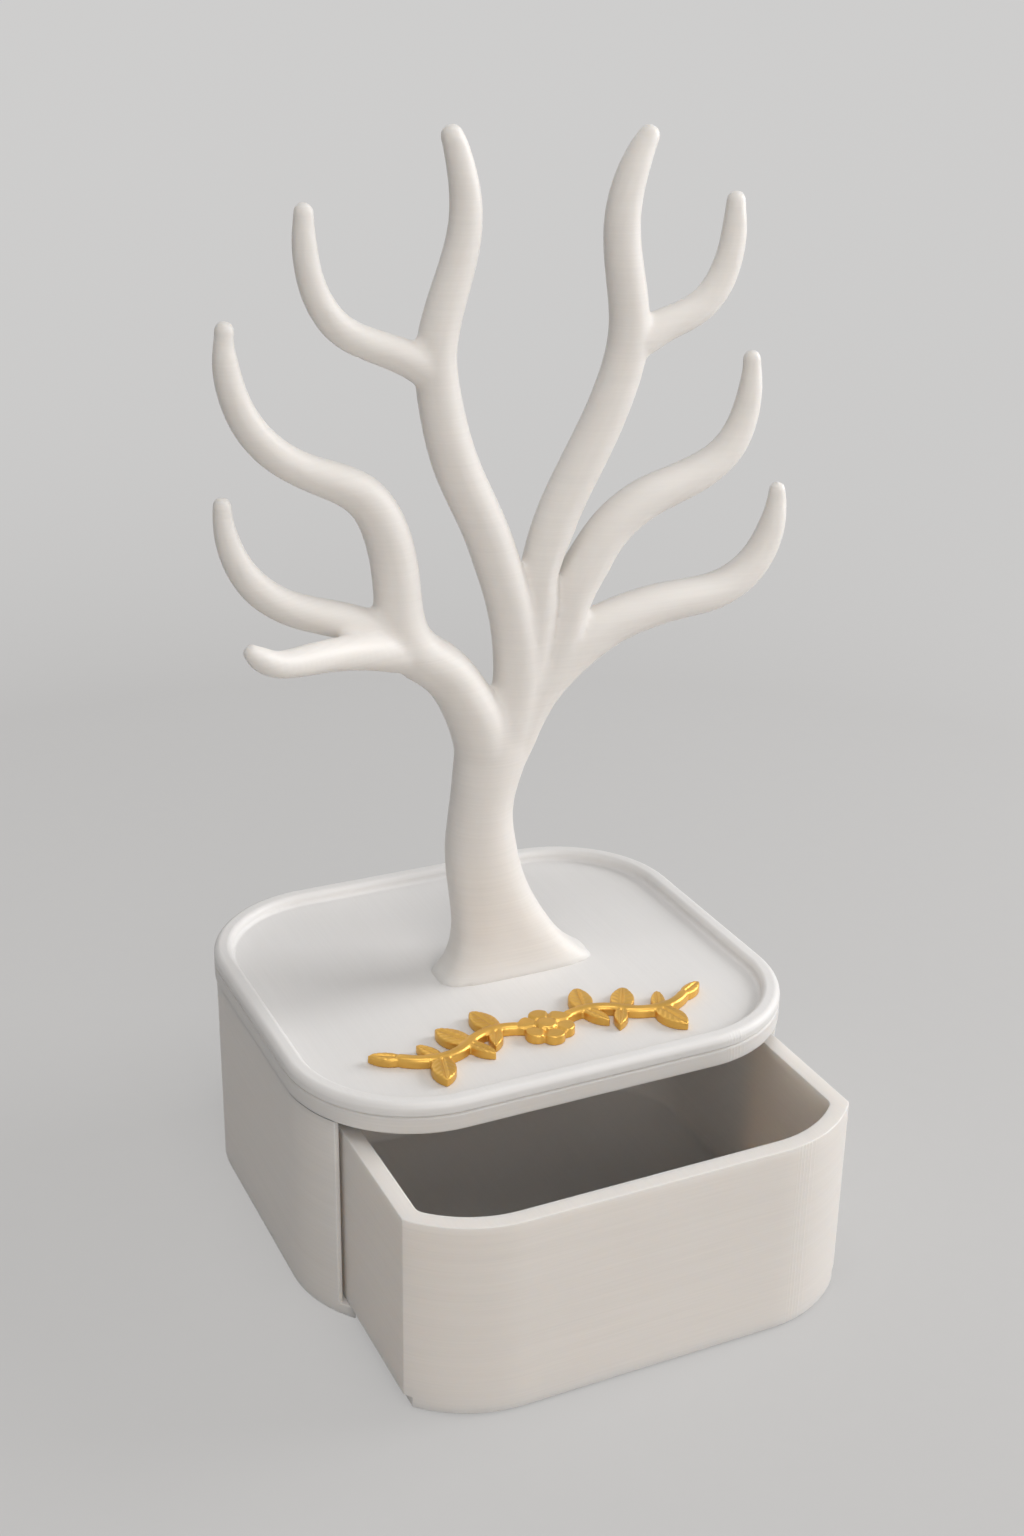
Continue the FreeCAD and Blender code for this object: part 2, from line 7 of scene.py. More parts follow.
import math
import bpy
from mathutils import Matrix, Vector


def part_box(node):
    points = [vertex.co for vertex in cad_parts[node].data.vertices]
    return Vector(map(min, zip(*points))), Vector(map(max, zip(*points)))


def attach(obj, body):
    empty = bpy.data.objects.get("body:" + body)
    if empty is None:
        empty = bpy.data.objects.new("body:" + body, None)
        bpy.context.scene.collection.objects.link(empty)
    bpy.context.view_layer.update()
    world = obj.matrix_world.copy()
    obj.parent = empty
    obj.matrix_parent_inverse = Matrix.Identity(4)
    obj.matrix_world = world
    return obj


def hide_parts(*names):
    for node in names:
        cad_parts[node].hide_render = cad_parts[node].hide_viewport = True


bl_info = {
    "name": "Jewelry stand with drawer",
    "version": (1, 0, 0),
    "blender": (4, 5, 0),
    "location": "View3D > Sidebar > Stand",
    "description": "Dresses the printed box, tray, drawer, tree and gilt spray of a jewelry stand",
    "category": "Object",
}

import bmesh
import bpy
import numpy as np
from bpy.props import FloatProperty, FloatVectorProperty, IntProperty, PointerProperty
from mathutils import Matrix, Vector

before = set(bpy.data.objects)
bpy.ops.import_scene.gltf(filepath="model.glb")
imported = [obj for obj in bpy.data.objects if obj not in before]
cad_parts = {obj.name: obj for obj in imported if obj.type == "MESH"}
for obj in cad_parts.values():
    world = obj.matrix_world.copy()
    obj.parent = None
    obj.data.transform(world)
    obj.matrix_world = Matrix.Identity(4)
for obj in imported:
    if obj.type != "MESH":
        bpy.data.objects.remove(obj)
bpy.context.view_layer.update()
TRAY_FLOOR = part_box("vine_ornament")[0].z
DRAWER_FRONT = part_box("drawer")[0].y
BOX_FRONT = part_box("box_housing")[0].y

MM = 0.001


# ------------------------------------------------------------------ settings
class StandSettings(bpy.types.PropertyGroup):
    """Sizes and colours that a user would change."""

    box_colour: FloatVectorProperty(
        name="Box colour", description="Warm white plastic of the box and its drawer",
        subtype="COLOR", size=3, min=0, max=1, default=(0.83, 0.79, 0.75))
    tray_colour: FloatVectorProperty(
        name="Tray colour", description="White plastic of the tray",
        subtype="COLOR", size=3, min=0, max=1, default=(0.84, 0.825, 0.81))
    tree_colour: FloatVectorProperty(
        name="Tree colour", description="White plastic of the tree",
        subtype="COLOR", size=3, min=0, max=1, default=(0.84, 0.81, 0.775))
    gilt_colour: FloatVectorProperty(
        name="Gilt colour", description="Satin gold of the leaf spray on the tray",
        subtype="COLOR", size=3, min=0, max=1, default=(0.75, 0.44, 0.10))
    layer_height: FloatProperty(
        name="Layer height", description="Spacing of the print lines on upright walls",
        subtype="DISTANCE", unit="LENGTH", default=0.4 * MM, min=0.1 * MM, max=1.0 * MM)
    layer_depth: FloatProperty(
        name="Layer depth", description="How deep the print lines are pressed in",
        subtype="DISTANCE", unit="LENGTH", default=0.028 * MM, min=0, max=0.2 * MM)
    edge_round: FloatProperty(
        name="Edge rounding", description="Radius that the nozzle leaves on every sharp edge",
        subtype="DISTANCE", unit="LENGTH", default=0.45 * MM, min=0.05 * MM, max=1.0 * MM)
    spray_grain: FloatProperty(
        name="Spray mesh size", description="Side of one face of the leaf spray's skin",
        subtype="DISTANCE", unit="LENGTH", default=0.26 * MM, min=0.15 * MM, max=1.0 * MM)
    spray_softness: IntProperty(
        name="Spray softness", description="How far the upper edges of the leaf spray are rounded",
        default=5, min=0, max=40)
    tree_grain: FloatProperty(
        name="Tree mesh size", description="Side of one face of the tree's skin",
        subtype="DISTANCE", unit="LENGTH", default=0.65 * MM, min=0.4 * MM, max=2.0 * MM)
    fork_passes: IntProperty(
        name="Fork passes", description="How far the forks of the branches are filled and blended",
        default=14, min=0, max=300)
    lamp_power: FloatProperty(
        name="Lamp power", description="Power that each of the soft lamps takes its share of",
        subtype="POWER", unit="POWER", default=3.05, min=0, max=50)


def settings_of(context):
    """The settings that the panel shows."""
    return context.scene.stand_settings


# ------------------------------------------------------------------ shader maths
class Value:
    """An output of a shader node. An expression on values adds its Math nodes."""

    def __init__(self, sheet, socket):
        self.sheet = sheet
        self.socket = socket

    def _math(self, operation, first, second):
        return self.sheet.node("ShaderNodeMath", {"operation": operation}, {0: first, 1: second})

    def __add__(self, other):
        return self._math("ADD", self, other)

    def __radd__(self, other):
        return self._math("ADD", other, self)

    def __sub__(self, other):
        return self._math("SUBTRACT", self, other)

    def __rsub__(self, other):
        return self._math("SUBTRACT", other, self)

    def __mul__(self, other):
        return self._math("MULTIPLY", self, other)

    def __rmul__(self, other):
        return self._math("MULTIPLY", other, self)

    def __rtruediv__(self, other):
        return self._math("DIVIDE", other, self)

    def __abs__(self):
        return self._math("ABSOLUTE", self, 0)


class Sheet:
    """The node tree of one material or world, emptied and ready to be filled."""

    def __init__(self, owner):
        self.owner = owner
        owner.use_nodes = True
        self.tree = owner.node_tree
        self.tree.nodes.clear()

    def node(self, kind, settings=None, inputs=None, output=0):
        """Adds a node: its settings are made first, then the values or links of its sockets."""
        node = self.tree.nodes.new(kind)
        for name, setting in (settings or {}).items():
            setattr(node, name, setting)
        for name, value in (inputs or {}).items():
            if isinstance(value, Value):
                self.tree.links.new(value.socket, node.inputs[name])
            else:
                node.inputs[name].default_value = value
        return Value(self, node.outputs[output] if node.outputs else None)

    def here(self):
        """Object coordinates, in metres."""
        return self.node("ShaderNodeTexCoord", output="Object")

    def axis(self, name):
        """One object coordinate, in metres."""
        return self.node("ShaderNodeSeparateXYZ", None, {0: self.here()}, name)

    def noise(self, waves, detail):
        """Noise with so many waves to a metre along each axis."""
        place = self.node("ShaderNodeVectorMath", {"operation": "MULTIPLY"},
                          {0: self.here(), 1: waves})
        return self.node("ShaderNodeTexNoise", {"noise_dimensions": "3D"},
                         {"Vector": place, "Scale": 1.0, "Detail": detail})

    def spread(self, value, low, high, to_low=0.0, to_high=1.0):
        """The value from low to high laid out from to_low to to_high, and held beyond them."""
        return self.node("ShaderNodeMapRange", {"clamp": True},
                         {"Value": value, "From Min": low, "From Max": high,
                          "To Min": to_low, "To Max": to_high})

    def over_noise(self, noise, low=0.0, high=1.0):
        """From low to high over the values that noise mostly keeps between."""
        return self.spread(noise, NOISE_LOW, NOISE_HIGH, low, high)

    def blend(self, factor, first, second):
        """A colour between two colours."""
        return self.node("ShaderNodeMix", {"data_type": "RGBA"},
                         {0: factor, 6: (*first, 1.0), 7: (*second, 1.0)}, 2)

    def bump(self, height, distance):
        """A normal that stands as far out as the height says."""
        return self.node("ShaderNodeBump", None, {"Height": height, "Distance": distance})

    def seen(self):
        """1 for the camera and for what a gloss shows, and 0 for light that falls on something."""
        return (self.node("ShaderNodeLightPath", output="Is Camera Ray")
                + self.node("ShaderNodeLightPath", output="Is Glossy Ray"))

    def finish(self, sockets):
        """Ends the sheet in one Principled shader and gives the material."""
        shader = self.node("ShaderNodeBsdfPrincipled", None, sockets)
        self.node("ShaderNodeOutputMaterial", None, {"Surface": shader})
        return self.owner


# ------------------------------------------------------------------ finishes
# Upright marks on the front walls, where the nozzle starts each layer: place across, half width
# and strength. They show down to STARTS_DEEP behind the front, and fade over STARTS_FADE more.
# Their height is against that of the print lines, and their painted highlight against the plastic's
# tones.
LAYER_STARTS = (
    (33.4 * MM, 0.14 * MM, 0.5), (34.2 * MM, 0.22 * MM, 0.9), (35.1 * MM, 0.20 * MM, 1.0),
    (36.0 * MM, 0.16 * MM, 0.7), (36.9 * MM, 0.24 * MM, 0.9), (38.1 * MM, 0.14 * MM, 0.4))
STARTS_DEEP = 3.0 * MM
STARTS_FADE = 1.0 * MM
STARTS_HEIGHT = 2.2
STARTS_PAINTED_HIGHLIGHT = 0.8

# A face is a wall up to WALL_NORMAL as the upward part of its normal, and level from LEVEL_NORMAL.
WALL_NORMAL = 0.80
LEVEL_NORMAL = 0.97

# Noise keeps mostly between these two values.
NOISE_LOW = 0.3
NOISE_HIGH = 0.7

# Printed plastic: the share of single lines in its walls, how much flatter the rows on level faces
# are, the shares of its relief in its painted light and gloss, its tones against its colour, how far
# its roughness goes each way, and how light goes through it.
LINES_SHARE = 0.65
ROWS_FLATTER = 0.45
RELIEF_IN_PAINTED_LIGHT = 0.8
RELIEF_IN_GLOSS = 0.4
TINT_LOW = 0.25
TINT_HIGH = 0.75
# The darker tone is painted shade in the grooves of the lines and the lighter one painted highlight
# on their ridges; the same two tones also give the random mottling.
PLASTIC_DEEP = 0.965
PLASTIC_HIGH = 1.03
SMOOTHER = 0.05
ROUGHER = 0.07
PLASTIC_IOR = 1.46
LIGHT_SPREAD = (1.0, 0.86, 0.72)
LIGHT_REACH = 5.0 * MM

# Tones of the gilt's hollows and high spots against its colour.
GILT_DEEP = 0.88
GILT_HIGH = 1.12


def toned(colour, share):
    """The colour made darker or lighter, each part up to 1."""
    return tuple(min(1.0, part * share) for part in colour)


def mixed(first, second, share):
    """So large a share of the first value, and the rest of the second."""
    return first * share + second * (1 - share)


def layer_starts(sheet, front):
    """The upright marks where layers start, on the wall that faces the front."""
    across = sheet.axis("X")
    near = sheet.spread(sheet.axis("Y"), front + STARTS_DEEP, front + STARTS_DEEP + STARTS_FADE,
                        1.0, 0.0)
    ridge = 0.0
    for place, width, strength in LAYER_STARTS:
        ridge = ridge + sheet.spread(abs(across - place), 0.0, width, strength, 0.0)
    return ridge * near


def printed_plastic(name, colour, settings, front=None, bed_lines=True, sheen=0.46, milky=0.6):
    """Satin printed plastic: fine uneven layer lines on walls, and rows on level faces.

    front is where a front wall with the upright marks stands along Y. bed_lines gives the rows.
    sheen is the middle roughness, and milky the share of light that wanders through the plastic.
    """
    sheet = Sheet(bpy.data.materials.new(name))
    normal = sheet.node("ShaderNodeNewGeometry", output="Normal")
    upward = sheet.node("ShaderNodeSeparateXYZ", None, {0: normal}, "Z")
    level = sheet.spread(abs(upward), WALL_NORMAL, LEVEL_NORMAL)

    # Waves to a metre: a line is one layer high, a band six, and a row on the level under two wide.
    layers = 1.0 / settings.layer_height
    lines = sheet.noise((45.0, 45.0, layers), detail=1.0)
    bands = sheet.noise((22.0, 22.0, layers * 0.17), detail=2.0)
    rows = sheet.noise((layers * 0.7, 40.0, 0.0), detail=1.0)
    clouds = sheet.noise((55.0, 55.0, 40.0), detail=3.0)

    walls = mixed(lines, bands, LINES_SHARE)
    flats = mixed(rows, 0.5, ROWS_FLATTER) if bed_lines else 0.5
    relief = mixed(flats, walls, level)
    gloss = mixed(relief, clouds, RELIEF_IN_GLOSS)
    # Painted shade and highlight: the colour follows the relief, darker in the grooves of the lines
    # and lighter on their ridges, with a little random mottling from the clouds.
    painted_light_and_mottle = sheet.spread(mixed(relief, clouds, RELIEF_IN_PAINTED_LIGHT), TINT_LOW, TINT_HIGH)
    if front is not None:
        starts = layer_starts(sheet, front) * (1 - level)
        relief = relief + starts * STARTS_HEIGHT
        # The raised start marks are painted lighter as well, a painted highlight on them.
        painted_light_and_mottle = painted_light_and_mottle + starts * STARTS_PAINTED_HIGHLIGHT
    return sheet.finish({
        "Base Color": sheet.blend(painted_light_and_mottle, toned(colour, PLASTIC_DEEP), toned(colour, PLASTIC_HIGH)),
        "Roughness": sheet.over_noise(gloss, sheen - SMOOTHER, sheen + ROUGHER),
        "Normal": sheet.bump(relief, settings.layer_depth),
        "IOR": PLASTIC_IOR,
        "Subsurface Weight": milky,
        "Subsurface Radius": LIGHT_SPREAD,
        "Subsurface Scale": LIGHT_REACH,
    })


def satin_gilt(name, colour):
    """Satin gold print: warm metal with soft grain and brighter high spots."""
    sheet = Sheet(bpy.data.materials.new(name))
    grain = sheet.noise((900.0, 900.0, 2600.0), detail=2.0)
    clouds = sheet.noise((120.0, 120.0, 120.0), detail=3.0)
    return sheet.finish({
        "Base Color": sheet.blend(sheet.over_noise(clouds),
                                  toned(colour, GILT_DEEP), toned(colour, GILT_HIGH)),
        "Metallic": sheet.over_noise(clouds, 0.82, 0.92),
        "Roughness": sheet.over_noise(mixed(grain, clouds, 0.5), 0.32, 0.44),
        "Normal": sheet.bump(grain, 0.012 * MM),
    })


def turned_zinc(name):
    """Plain zinc of a small screw, with turned rings and faint clouding."""
    sheet = Sheet(bpy.data.materials.new(name))
    rings = sheet.noise((300.0, 300.0, 4200.0), detail=1.0)
    clouds = sheet.noise((700.0, 700.0, 700.0), detail=3.0)
    return sheet.finish({
        "Base Color": sheet.blend(clouds, (0.50, 0.51, 0.52), (0.68, 0.68, 0.67)),
        "Metallic": 1.0,
        "Roughness": sheet.over_noise(clouds, 0.28, 0.44),
        "Normal": sheet.bump(rings, 0.01 * MM),
    })


# ------------------------------------------------------------------ meshes
# Faces that turn less than FLAT_ANGLE become one, and edges sharper than SHARP_ANGLE are rounded.
FLAT_ANGLE = math.radians(0.5)
SHARP_ANGLE = math.radians(28)
EDGE_STEPS = 3
TRAY_ROUNDING = 0.7  # the thin rim of the tray takes this share of the edge rounding
ONE_POINT = 0.001 * MM  # points nearer to each other than this are one


def new_object(name, data):
    """A new object in the scene, at the origin."""
    made = bpy.data.objects.new(name, data)
    bpy.context.scene.collection.objects.link(made)
    return made


def copy_of(node, name):
    """A new object with the node's mesh, its split points joined again."""
    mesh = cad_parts[node].data.copy()
    mesh.name = name
    if mesh.has_custom_normals:
        mesh.attributes.remove(mesh.attributes["custom_normal"])
    skin = bmesh.new()
    skin.from_mesh(mesh)
    bmesh.ops.remove_doubles(skin, verts=skin.verts, dist=ONE_POINT)
    for face in skin.faces:
        face.smooth = True
    for edge in skin.edges:
        edge.smooth = True
    skin.to_mesh(mesh)
    skin.free()
    return new_object(name, mesh)


def bake_modifiers(piece):
    """Puts the result of the piece's modifiers in its mesh."""
    bpy.context.view_layer.update()
    shown = piece.evaluated_get(bpy.context.evaluated_depsgraph_get())
    mesh = bpy.data.meshes.new_from_object(shown)
    piece.modifiers.clear()
    piece.data = mesh
    mesh.name = piece.name
    return mesh


def join_flats(mesh):
    """Turns the triangles of each flat face into one face, so that only real edges are rounded."""
    skin = bmesh.new()
    skin.from_mesh(mesh)
    bmesh.ops.dissolve_limit(skin, angle_limit=FLAT_ANGLE, verts=skin.verts, edges=skin.edges,
                             use_dissolve_boundaries=False)
    skin.to_mesh(mesh)
    skin.free()


def round_edges(piece, radius):
    """Rounds every sharp edge, and keeps the flats flat."""
    bevel = piece.modifiers.new("edges", "BEVEL")
    bevel.limit_method = "ANGLE"
    bevel.angle_limit = SHARP_ANGLE
    bevel.width = radius
    bevel.segments = EDGE_STEPS
    bevel.miter_outer = "MITER_ARC"
    normals = piece.modifiers.new("normals", "WEIGHTED_NORMAL")
    normals.keep_sharp = True
    bake_modifiers(piece)


def fine_skin(piece, grain):
    """Covers a piece with small even faces, ready to be shaped."""
    remesh = piece.modifiers.new("skin", "REMESH")
    remesh.mode = "VOXEL"
    remesh.voxel_size = grain
    remesh.use_smooth_shade = True
    return bake_modifiers(piece)


def points_of(mesh):
    """The mesh's points as rows of numbers."""
    points = np.zeros(len(mesh.vertices) * 3, np.float32)
    mesh.vertices.foreach_get("co", points)
    return points.reshape(-1, 3).astype(float)


def put_points(mesh, points):
    """Moves the mesh's points."""
    mesh.vertices.foreach_set("co", points.astype(np.float32).ravel())
    mesh.update()


def outward(mesh, points):
    """The outward direction at each point, once the mesh's points are there."""
    put_points(mesh, points)
    normals = np.zeros(len(points) * 3, np.float32)
    mesh.vertex_normals.foreach_get("vector", normals)
    return normals.reshape(-1, 3).astype(float)


def neighbours_of(mesh):
    """Each point of every edge, and the neighbour at the edge's other end."""
    pairs = np.zeros(len(mesh.edges) * 2, np.int64)
    mesh.edges.foreach_get("vertices", pairs)
    first, second = pairs.reshape(-1, 2).T
    return np.concatenate((first, second)), np.concatenate((second, first))


def to_neighbours(points, neighbours):
    """From each point to the middle of its neighbours."""
    here, there = neighbours
    count = np.bincount(here, minlength=len(points))[:, None]
    total = np.stack([np.bincount(here, points[there, k], len(points)) for k in range(3)], axis=1)
    return total / count - points


def even_out(points, neighbours, steps, free=1.0):
    """Moves the free points by each step's share of the way to their neighbours' middle."""
    for step in steps:
        points += step * free * to_neighbours(points, neighbours)


def keep_inside(mesh, node):
    """Holds every point of a mesh inside the box of the node that it stands for."""
    low, high = (np.array(corner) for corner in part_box(node))
    put_points(mesh, np.clip(points_of(mesh), low, high))


def rounded_copy(node, name, radius):
    """A copy of a flat-sided node with rounded edges, inside the node's box."""
    piece = copy_of(node, name)
    join_flats(piece.data)
    round_edges(piece, radius)
    keep_inside(piece.data, node)
    return piece


def dress(piece, node, body, material):
    """Gives a piece its finish, its body and the node that it stands for."""
    piece.data.materials.clear()
    piece.data.materials.append(material)
    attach(piece, body)
    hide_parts(node)


# ------------------------------------------------------------------ shape of the tree
# The forks are filled above the foot. Each pass fills this share of a hollow, and steps in and out
# then even the skin.
FORKS_FROM = TRAY_FLOOR + 3.0 * MM
FORK_FILL = 0.6
FORK_STEPS = (0.5, -0.53) * 12

# At the tray's floor the foot sinks by FOOT_SUNK. FOOT_FADE times as far above or below the floor
# it doesn't sink at all.
FOOT_SUNK = 0.5 * MM
FOOT_FADE = 1.8

# Where the branches are eased over, in mm: the middle across and in height, the reach,
# and the shift across and up. The left bough arches, and three forks close a little lower.
EASED = (
    (-16.0, 124.0, 16.0, 1.1, 1.1),
    (0.0, 135.0, 22.0, 1.3, 0.0),
    (-2.0, 127.0, 12.5, 0.0, -1.8),
    (25.0, 142.0, 10.0, -1.6, -0.2),
    (17.0, 151.5, 9.0, -1.3, -1.0))


def blend_forks(mesh, passes):
    """Fills the hollow lines where branches meet, then evens out the skin without shrinking it."""
    points = points_of(mesh)
    neighbours = neighbours_of(mesh)
    free = points[:, 2:] > FORKS_FROM
    for _ in range(passes):
        normals = outward(mesh, points)
        hollow = (to_neighbours(points, neighbours) * normals).sum(1, keepdims=True)
        points += FORK_FILL * np.maximum(hollow, 0.0) * normals * free
    even_out(points, neighbours, FORK_STEPS)
    put_points(mesh, points)


def sink_foot(points):
    """Lowers the edge of the tree's foot a little way into the tray."""
    over = (points[:, 2] - TRAY_FLOOR) / FOOT_SUNK
    points[:, 2] -= FOOT_SUNK * np.clip(FOOT_FADE - np.abs(over), 0, 1)


def ease_branches(points):
    """Shifts the tree's skin smoothly about each of the eased spots."""
    for across, height, reach, aside, up in EASED:
        away = np.hypot(points[:, 0] / MM - across, points[:, 2] / MM - height) / reach
        share = np.clip(1 - away ** 2, 0, 1) ** 2
        points[:, 0] += aside * MM * share
        points[:, 2] += up * MM * share


# ------------------------------------------------------------------ shape of the leaf spray, in mm
# The lowest SPRAY_BASE of the spray keeps the solid's shape. The skin above it is softened by
# SPRAY_PULL in each pass, then carved, and then evened by the steps.
SPRAY_BASE = 0.9
SPRAY_PULL = 0.5
SPRAY_STEPS = (0.4, -0.41) * 2

# The stem starts beside the rosette and swings in equal arcs, each two half swings long. It ends
# just short of four half swings, where a third arc would start. Its round top stands above the
# blades, with its sides lower than they are.
STEM_START = 3.0
HALF_WAVE = 16.0
WAVE_ANGLE = math.radians(42)
STEM_END = 3.999
STEM_SPOTS = 160
STEM_RADIUS = 1.25
STEM_HEIGHT = 0.55
STEM_LOWERED = 0.08

# A leaf has its place along the stem in half swings, its direction in degrees and its length.
SPRAY_LEAVES = (
    (1, 75, 9.5), (1, -65, 7.5), (2, 60, 9.5), (2, -120, 7.5), (3, -75, 9.5), (3, 65, 7.5),
    (4, 30, 7.5))

# A leaf's root lies LEAF_ROOT behind the middle of the stem, and two arcs are its outline. Each
# half swells between a sunk midrib and the edge, and slanting veins are pressed into it. It fades
# out over a share of its length at the root and at the tip.
LEAF_ROOT = 1.2
LEAF_RADIUS = 6.5
LEAF_SWELL = 0.30
MIDRIB_DEPTH = 0.55
MIDRIB_WIDTH = 0.30
VEIN_DEPTH = 0.16
VEIN_WIDTH = 0.20
VEIN_GAP = 1.55
VEIN_SLANT = 0.9
VEIN_START = 0.35
VEIN_START_FADE = 0.3
VEIN_END_FADE = 0.5
LEAF_THINNEST = 0.05
LEAF_ROOT_FADE = 0.12
LEAF_TIP_FADE = 0.10

# The rosette has petals parted by furrows, and a round groove about the button in its middle. Its
# petals run down towards PETALS_DOWN, and past PETALS_END the stem and the leaves show.
PETAL_ANGLE = math.pi / 3
PETAL_HEIGHT = 0.28
FURROW_DEPTH = 0.55
FURROW_WIDTH = 0.38
GROOVE_RADIUS = 2.6
GROOVE_DEPTH = 0.30
GROOVE_WIDTH = 0.35
PETALS_END = 6.6
PETALS_DOWN = 7.0
PETALS_FADE = 0.8
BUTTON_RADIUS = 2.3
BUTTON_HEIGHT = 0.12
BUTTON_FLAT = 0.8
BUTTON_FALL = 0.25
BUTTON_SLOPE = 1.5


def ramp(past, length):
    """0 up to a border and 1 from a length past it."""
    return np.clip(past / length, 0, 1)


def bell(away, width):
    """1 on a line, and next to nothing from two widths away."""
    return np.exp(-(away / width) ** 2)


def stem_line(halves):
    """Where the middle of the stem is, so many half swings from its start."""
    radius = HALF_WAVE / (2 * math.sin(WAVE_ANGLE))
    across = halves * HALF_WAVE / 2
    within = across % HALF_WAVE - HALF_WAVE / 2
    rise = np.sqrt(radius ** 2 - within ** 2) - radius * math.cos(WAVE_ANGLE)
    side = np.where((across // HALF_WAVE) % 2 < 1, 1.0, -1.0)
    return np.stack([STEM_START + across, side * rise], axis=-1)


def leaf_relief(spots, halves, direction, length):
    """Which spots are on a leaf, and how far its top rises there."""
    root = stem_line(min(halves, STEM_END))
    turn = math.radians(direction)
    along = np.array([math.cos(turn), math.sin(turn)])
    aside = np.array([-along[1], along[0]])
    chord = length + LEAF_ROOT
    share = ((spots - root) @ along + LEAF_ROOT) / chord
    off = np.abs((spots - root) @ aside)
    bow = np.sqrt(np.maximum(LEAF_RADIUS ** 2 - (chord * (share - 0.5)) ** 2, 0))
    half = bow - math.sqrt(LEAF_RADIUS ** 2 - (chord / 2) ** 2)
    inside = (share > 0) & (share < 1) & (off < half)
    half = np.maximum(half, LEAF_THINNEST)
    swell = LEAF_SWELL * (1 - (off / half) ** 2)
    midrib = MIDRIB_DEPTH * bell(off, MIDRIB_WIDTH)
    slant = (share * chord - VEIN_SLANT * off) / VEIN_GAP
    veins = VEIN_DEPTH * bell((slant - np.round(slant)) * VEIN_GAP, VEIN_WIDTH)
    veins *= ramp(off - VEIN_START, VEIN_START_FADE) * ramp(half - off, VEIN_END_FADE)
    fade = ramp(share, LEAF_ROOT_FADE) * ramp(1 - share, LEAF_TIP_FADE)
    return inside, (swell - midrib - veins) * fade


def rosette_relief(spots):
    """How far each spot is from the middle, and how far the petals or the button rise there."""
    out = np.hypot(spots[:, 0], spots[:, 1])
    turn = np.arctan2(spots[:, 1], spots[:, 0]) / PETAL_ANGLE
    furrow = np.abs(turn - np.round(turn)) * PETAL_ANGLE * out
    petals = (PETAL_HEIGHT - FURROW_DEPTH * bell(furrow, FURROW_WIDTH)
              - GROOVE_DEPTH * bell(out - GROOVE_RADIUS, GROOVE_WIDTH))
    petals *= ramp(PETALS_DOWN - out, PETALS_FADE)
    button = BUTTON_HEIGHT - BUTTON_FALL * ramp(out - BUTTON_FLAT, BUTTON_SLOPE) ** 2
    return out, np.where(out < BUTTON_RADIUS, button, petals)


def spray_relief(spots):
    """How far the top of the spray rises at each spot, whose place is taken from its middle."""
    spots = np.stack([np.abs(spots[:, 0]), spots[:, 1]], axis=1)
    rise = np.zeros(len(spots))
    for leaf in SPRAY_LEAVES:
        inside, blade = leaf_relief(spots, *leaf)
        rise = np.where(inside, blade, rise)
    line = stem_line(np.linspace(0.0, STEM_END, STEM_SPOTS))
    away = np.sqrt(((spots[:, None, :] - line[None, :, :]) ** 2).sum(2)).min(1)
    rod = np.sqrt(np.clip(1 - (away / STEM_RADIUS) ** 2, 0, 1)) * STEM_HEIGHT - STEM_LOWERED
    rise = np.where(away < STEM_RADIUS, np.maximum(rod, rise), rise)
    out, rosette = rosette_relief(spots)
    return np.where(out < PETALS_END, rosette, rise)


# ------------------------------------------------------------------ pieces
class STAND_OT_box(bpy.types.Operator):
    """Box with floor, walls and roof in one print"""

    bl_idname = "stand.box"
    bl_label = "Box"

    def execute(self, context):
        settings = settings_of(context)
        piece = rounded_copy("box_housing", "box_print", settings.edge_round)
        dress(piece, "box_housing", "stand",
              printed_plastic("box_plastic", settings.box_colour, settings, front=BOX_FRONT))
        return {"FINISHED"}


class STAND_OT_tray(bpy.types.Operator):
    """Rimmed tray on the roof of the box"""

    bl_idname = "stand.tray"
    bl_label = "Tray"

    def execute(self, context):
        settings = settings_of(context)
        piece = rounded_copy("top_tray", "tray_print", settings.edge_round * TRAY_ROUNDING)
        dress(piece, "top_tray", "stand",
              printed_plastic("tray_plastic", settings.tray_colour, settings, front=BOX_FRONT,
                              milky=0.1))
        return {"FINISHED"}


class STAND_OT_drawer(bpy.types.Operator):
    """Drawer with its rounded front and the start lines of its layers"""

    bl_idname = "stand.drawer"
    bl_label = "Drawer"

    def execute(self, context):
        settings = settings_of(context)
        piece = rounded_copy("drawer", "drawer_print", settings.edge_round)
        dress(piece, "drawer", "drawer",
              printed_plastic("drawer_plastic", settings.box_colour, settings, front=DRAWER_FRONT))
        return {"FINISHED"}


class STAND_OT_tree(bpy.types.Operator):
    """Tree whose branches run into each other without a hard line"""

    bl_idname = "stand.tree"
    bl_label = "Tree"

    def execute(self, context):
        settings = settings_of(context)
        piece = copy_of("tree", "tree_print")
        mesh = fine_skin(piece, settings.tree_grain)
        blend_forks(mesh, settings.fork_passes)
        points = points_of(mesh)
        sink_foot(points)
        ease_branches(points)
        put_points(mesh, points)
        keep_inside(mesh, "tree")
        dress(piece, "tree", "stand",
              printed_plastic("tree_plastic", settings.tree_colour, settings,
                              bed_lines=False, sheen=0.48, milky=0.3))
        return {"FINISHED"}


class STAND_OT_screws(bpy.types.Operator):
    """Zinc of the two countersunk screws that hold the tray and the tree"""

    bl_idname = "stand.screws"
    bl_label = "Screws"

    def execute(self, context):
        zinc = turned_zinc("screw_zinc")
        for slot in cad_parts["tree_screws"].material_slots:
            slot.material = zinc
        return {"FINISHED"}


